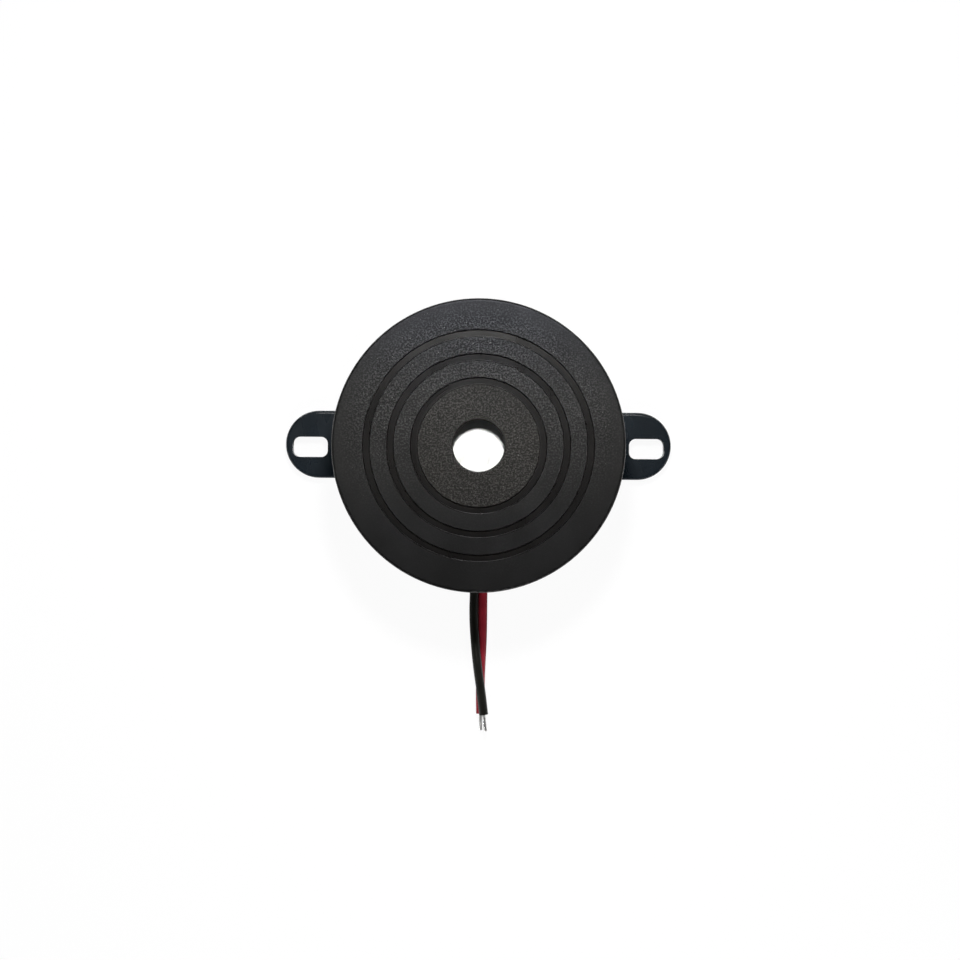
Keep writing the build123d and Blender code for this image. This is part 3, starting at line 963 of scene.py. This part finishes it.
@dataclass(frozen=True)
class Floor:
    """The pale floor, which is no part of the buzzer and keeps a faint shadow of it.

    Attributes:
        shade: how light its paper is.
        glow_share: how much of what the camera sees of it is plain white.
        level: its height, just under the buzzer.
    """

    shade: float = 0.94
    glow_share: float = 0.93
    reach: float = 4.0
    level: float = -0.00003

    def make_material(self) -> bpy.types.Material:
        """Returns the paper."""
        material = bpy.data.materials.new("floor_paper")
        graph = Graph(emptied(material))
        paper = graph.node("ShaderNodeBsdfDiffuse", {"Color": grey(self.shade)})
        glow = graph.node("ShaderNodeEmission", {"Color": grey(1.0), "Strength": 1.0})
        rays = graph.node("ShaderNodeLightPath")
        share = graph.math("MULTIPLY", rays.outputs["Is Camera Ray"], self.glow_share)
        mix = graph.node("ShaderNodeMixShader", {0: share, 1: paper.outputs[0], 2: glow.outputs[0]})
        graph.node("ShaderNodeOutputMaterial", {"Surface": mix.outputs[0]})
        return material

    def build(self) -> None:
        """Lays the floor."""
        sides = ((-1, -1), (1, -1), (1, 1), (-1, 1))
        corners = [(self.reach * x, self.reach * y, self.level) for x, y in sides]
        mesh = bpy.data.meshes.new("floor")
        mesh.from_pydata(corners, [], [(0, 1, 2, 3)])
        mesh.materials.append(self.make_material())
        floor = link("floor", mesh)


@dataclass
class Studio:
    """Camera, lamps, sky and floor round the buzzer.

    Attributes:
        sky: its colours by height, from the horizon and below at 0 to overhead at 1.
        lamps: a key above the far side, and fills from the near side, the east and the west.
    """

    camera: Camera = Camera()
    floor: Floor = Floor()
    sky: tuple[tuple[float, Colour], ...] = (
        (0.0, (0.15, 0.15, 0.15)),
        (0.17, (0.15, 0.15, 0.15)),
        (0.5, (0.22, 0.23, 0.245)),
        (0.78, (0.038, 0.041, 0.044)),
        (0.93, (0.010, 0.010, 0.009)),
        (1.0, (0.008, 0.008, 0.007)),
    )
    lamps: tuple[Lamp, ...] = (
        Lamp("key", (0.0015, 0.069, 0.1426), 0.028, 0.256),
        Lamp("fill_south", (0.03, -0.30, 0.20), 0.20, 0.85, glossy=False),
        Lamp("fill_east", (0.40, -0.20, 0.16), 0.20, 0.12),
        Lamp("fill_west", (-0.40, -0.20, 0.16), 0.20, 0.12),
    )

    def make_sky(self) -> None:
        """Makes the surroundings: dim low down, lighter half way up and dark overhead."""
        world = bpy.data.worlds.new("studio")
        graph = Graph(emptied(world))
        up = graph.axes(graph.node("ShaderNodeTexCoord").outputs["Generated"])[2]
        ramp = graph.node("ShaderNodeValToRGB", {0: up})
        stops = ramp.color_ramp.elements
        first, *between, last = self.sky
        stops[0].color = opaque(first[1])
        stops[1].position, stops[1].color = last[0], opaque(last[1])
        for position, colour in between:
            stops.new(position).color = opaque(colour)
        back = graph.node("ShaderNodeBackground", {"Color": ramp.outputs[0], "Strength": 1.0})
        graph.node("ShaderNodeOutputWorld", {"Surface": back.outputs[0]})
        bpy.context.scene.world = world

    def build(self) -> None:
        """Finishes the studio round the camera."""
        self.floor.build()
        self.make_sky()
        for lamp in self.lamps:
            lamp.build()
        bpy.context.scene.view_settings.view_transform = "Standard"


@dataclass(frozen=True)
class Lead:
    """One flying lead: its insulation, its tinned tip and how it leaves the buzzer.

    Attributes:
        name: its node in the frame.
        route: the points that guide its middle line, from the board to its far end.
        leaves_at: where it comes out of the potting.
        strand_count: the strands of the tip, one in the middle and the others round it.
        strands_across: how many of them lie side by side.
        tip_turns: how often they are twisted round the middle one.
        fray: the share of the tip by which some strands end early, once or twice.
    """

    name: str
    route: tuple[Point, ...]
    # leaves_at: where it comes out of the potting; not used.
    leaves_at: Point
    length: float
    finish: Sheath
    slot: str
    diameter: float = 0.00135
    core_diameter: float = 0.0005
    facets: int = 8
    steps: int = 16
    tip_length: float = 0.0025
    strand_count: int = 7
    strands_across: int = 3
    strand_facets: int = 3
    strand_steps: int = 16
    tip_turns: float = 1.1
    fray: float = 0.03

    @staticmethod
    def start_tube(name: str, radius: float, facets: int) -> bpy.types.Curve:
        """Returns a curve that is drawn as round tubes with closed ends, still without a line.

        Args:
            name: its name.
            radius: the radius of the tubes.
            facets: how finely they are rounded.
        """
        curve = bpy.data.curves.new(name, "CURVE")
        curve.dimensions = "3D"
        curve.bevel_depth = radius
        curve.bevel_resolution = facets
        curve.use_fill_caps = True
        return curve

    def build_insulation(self) -> bpy.types.Object:
        """Returns the insulation, a round tube along one smooth line."""
        name = self.name + "_insulation"
        curve = self.start_tube(name, self.diameter / 2, self.facets)
        curve.resolution_u = self.steps
        line = curve.splines.new("NURBS")
        line.points.add(len(self.route) - 1)
        for point, place in zip(line.points, self.route):
            point.co = (*place, 1.0)
        line.order_u = 3
        line.use_endpoint_u = True
        curve.materials.append(self.finish.build())
        return link(name, curve)

    def build_tip(self, metal: bpy.types.Material) -> bpy.types.Object:
        """Returns the bared end as one piece: fine strands twisted together.

        Args:
            metal: the tinned finish of the strands.
        """
        name = self.name + "_strands"
        strand = self.core_diameter / (2 * self.strands_across)
        start = Vector(self.route[-1])
        along = (start - Vector(self.route[-2])).normalized()
        side = along.cross(Vector((0, 0, 1))).normalized()
        up = side.cross(along).normalized()
        curve = self.start_tube(name, strand, self.strand_facets)
        for index in range(self.strand_count):
            offset = 0.0 if index == 0 else 2 * strand
            first = 2 * math.pi * index / (self.strand_count - 1)
            reach = self.tip_length * (1 - self.fray * (index % 3))
            line = curve.splines.new("POLY")
            line.points.add(self.strand_steps)
            for step, point in enumerate(line.points):
                share = step / self.strand_steps
                angle = first + 2 * math.pi * self.tip_turns * share
                around = (side * math.cos(angle) + up * math.sin(angle)) * offset
                point.co = (*(start + along * reach * share + around), 1.0)
        curve.materials.append(metal)
        return link(name, curve)

    def build(self, metal: bpy.types.Material) -> None:
        """Args:
            metal: the tinned finish of the strands.
        """
        insulation = self.build_insulation()
        tip = self.build_tip(metal)
        pieces = (
            (insulation, self.name, self.slot),
            (tip, self.name + "_tip", "tinned_copper"),
        )
        for piece, node, slot in pieces:
            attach(piece, BODY)
            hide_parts(node)
            LOG.info("%s replaces %s", piece.name, node)


RED_LEAD = Lead(
    name="lead_red",
    route=(
        (0.0026, -0.003, 0.01),
        (0.0026, -0.003, 0.0064),
        (0.0025, -0.0048, 0.00328),
        (0.0022, -0.00792, 0.0015),
        (0.00148, -0.0123, 0.00124),
        (0.00102, -0.0169, 0.00096),
        (0.00082, -0.0212, 0.000725),
        (0.00083, -0.0252, 0.000725),
        (0.00079, -0.0293, 0.000725),
        (0.00058, -0.0332, 0.000725),
        (0.00051, -0.0368, 0.000725),
        (0.00059, -0.0401, 0.000725),
    ),
    leaves_at=(0.00184, -0.0101, 0.00137),
    length=0.0429,
    finish=Sheath("red_insulation", (0.235, 0.0150, 0.0250)),
    slot="lead_red_pvc",
)
BLACK_LEAD = Lead(
    name="lead_black",
    route=(
        (-0.0026, -0.003, 0.01),
        (-0.0026, -0.003, 0.0064),
        (-0.00245, -0.0048, 0.00328),
        (-0.0021, -0.00792, 0.0015),
        (-0.00126, -0.0123, 0.00124),
        (-0.00071, -0.0169, 0.00112),
        (-0.00043, -0.0212, 0.0012),
        (-0.00056, -0.0252, 0.00122),
        (-0.0003, -0.0293, 0.00166),
        (0.00011, -0.0332, 0.0022),
        (0.00067, -0.0368, 0.0022),
        (0.00105, -0.0401, 0.00212),
    ),
    leaves_at=(-0.00168, -0.0101, 0.00137),
    length=0.0431,
    finish=Sheath("black_insulation", (0.0084, 0.0081, 0.0066)),
    slot="lead_black_pvc",
)


@dataclass
class LeadPair:
    """The red and the black lead."""

    strands: Metal = Metal("tinned_strands", TINNED, TINNED_ROUGHNESS)
    leads: tuple[Lead, ...] = (RED_LEAD, BLACK_LEAD)

    def build(self) -> None:
        """Builds both leads, with one finish for the strands of both."""
        metal = self.strands.build()
        for lead in self.leads:
            lead.build(metal)


def dress(finishes: dict[str, Finish]) -> None:
    """Gives carried-over pieces their finish, each in a material of its own.

    Args:
        finishes: each piece's name in the frame with what it is dressed in.
    """
    for node, finish in finishes.items():
        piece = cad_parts[node]
        piece.data.materials.clear()
        piece.data.materials.append(finish.build())
        LOG.info("%s dressed in %s", node, finish.name)


@dataclass
class Shell:
    """The moulded housing and the compound that closes its back."""

    housing: MouldedShell = MouldedShell("housing_plastic_black")
    potting: Potting = Potting("potting_compound", BLACK_EPOXY)

    def build(self) -> None:
        """Dresses the housing and the potting."""
        dress({"housing": self.housing, "potting": self.potting})


@dataclass
class SoundUnit:
    """The diaphragm: plate, ceramic, silvered electrodes and the bead that holds them."""

    plate: Metal = Metal("plate_satin", (0.93, 0.925, 0.90), 0.45, mark_height=0.000002)
    silver: Metal = Metal("electrode_silver", (0.80, 0.79, 0.77), 0.45)
    ceramic: Granular = Granular(
        "piezo_ceramic",
        colour=(0.50, 0.46, 0.36),
        fleck=(0.58, 0.54, 0.43),
        roughness=0.7,
        cells=9000.0,
        grain_height=0.00001,
    )
    bead: Granular = Granular(
        "silicone_bead",
        colour=(0.72, 0.72, 0.70),
        fleck=(0.78, 0.78, 0.76),
        roughness=0.55,
        cells=2500.0,
        grain_height=0.00002,
    )

    def build(self) -> None:
        """Dresses each piece."""
        dress(
            {
                "diaphragm_plate": self.plate,
                "ceramic_disc": self.ceramic,
                "main_electrode": self.silver,
                "feedback_electrode": self.silver,
                "plate_adhesive": self.bead,
            }
        )


@dataclass
class Driver:
    """The circuit board that drives the diaphragm, with everything soldered to it.

    Attributes:
        resistor: the coat of each resistor, with brown, black, black, red and gold bands.
        resistor_bearings: each resistor's name with its bearing in degrees.
    """

    laminate: Granular = Granular(
        "board_laminate",
        colour=(0.36, 0.22, 0.08),
        fleck=(0.42, 0.27, 0.11),
        roughness=0.6,
        cells=4000.0,
        grain_height=0.00001,
    )
    ferrite: Coated = Coated(
        "ferrite",
        colour=(0.035, 0.035, 0.038),
        roughness=0.65,
        body=(0.0, 0.0100),
        grain_height=0.00002,
    )
    copper: Metal = Metal(
        "enamelled_copper",
        colour=(0.62, 0.26, 0.10),
        roughness=0.3,
        mark_cells=5500.0,
        mark_height=0.00006,
        mark_stretch=(0.02, 0.02, 1.0),
    )
    solder: Metal = Metal("solder_joint", (0.66, 0.66, 0.67), 0.28)
    tinned: Metal = Metal("tinned_core", TINNED, TINNED_ROUGHNESS)
    transistor: Coated = Coated("transistor_epoxy", BLACK_EPOXY, 0.5, body=(0.0, 0.0087))
    diode: Coated = Coated(
        "diode_epoxy",
        BLACK_EPOXY,
        0.4,
        body=(-0.0025, 0.0025),
        bearing=350.0,
        bands=((-0.0018, -0.0010, (0.62, 0.62, 0.60)),),
    )
    capacitor: Coated = Coated("capacitor_coat", (0.50, 0.20, 0.05), 0.3, body=(0.0, 0.0092))
    resistor: Coated = Coated(
        "resistor_coat",
        (0.50, 0.37, 0.20),
        0.3,
        body=(-0.00195, 0.00195),
        bands=(
            (-0.00165, -0.00135, (0.10, 0.035, 0.015)),
            (-0.00075, -0.00045, (0.010, 0.010, 0.010)),
            (-0.00015, 0.00015, (0.010, 0.010, 0.010)),
            (0.00045, 0.00075, (0.55, 0.030, 0.015)),
            (0.00135, 0.00165, (0.42, 0.27, 0.08)),
        ),
    )
    resistor_bearings: tuple[tuple[str, float], ...] = (
        ("bias_resistor", 88.0),
        ("base_resistor", 198.0),
        ("feedback_resistor", 295.0),
    )
    red_wire: Sheath = Sheath("fine_wire_red", (0.40, 0.02, 0.02))
    white_wire: Sheath = Sheath("fine_wire_white", (0.72, 0.72, 0.69))
    black_wire: Sheath = Sheath("fine_wire_black", (0.012, 0.012, 0.012))

    def make_resistor_coats(self) -> dict[str, Coated]:
        """Returns each resistor's name with its coat."""
        return {
            name: replace(self.resistor, name=name + "_coat", bearing=bearing)
            for name, bearing in self.resistor_bearings
        }

    def build(self) -> None:
        """Dresses each piece."""
        dress(
            {
                "circuit_board": self.laminate,
                "choke_core": self.ferrite,
                "choke_winding": self.copper,
                "board_solder": self.solder,
                "wire_solder": self.solder,
                "lead_board_ends": self.tinned,
                "transistor": self.transistor,
                "diode": self.diode,
                "ceramic_capacitor": self.capacitor,
                **self.make_resistor_coats(),
                "main_wire": self.red_wire,
                "feedback_wire": self.white_wire,
                "plate_wire": self.black_wire,
            }
        )


def main() -> None:
    """Dresses the buzzer, building the camera first. The camera comes first, as the cords
    are judged by what it sees.
    """
    logging.basicConfig(level=logging.INFO, format="%(name)s: %(message)s")
    studio = Studio()
    studio.camera.build()
    LeadPair().build()
    Shell().build()
    SoundUnit().build()
    Driver().build()
    studio.build()


if __name__ == "__main__":
    main()
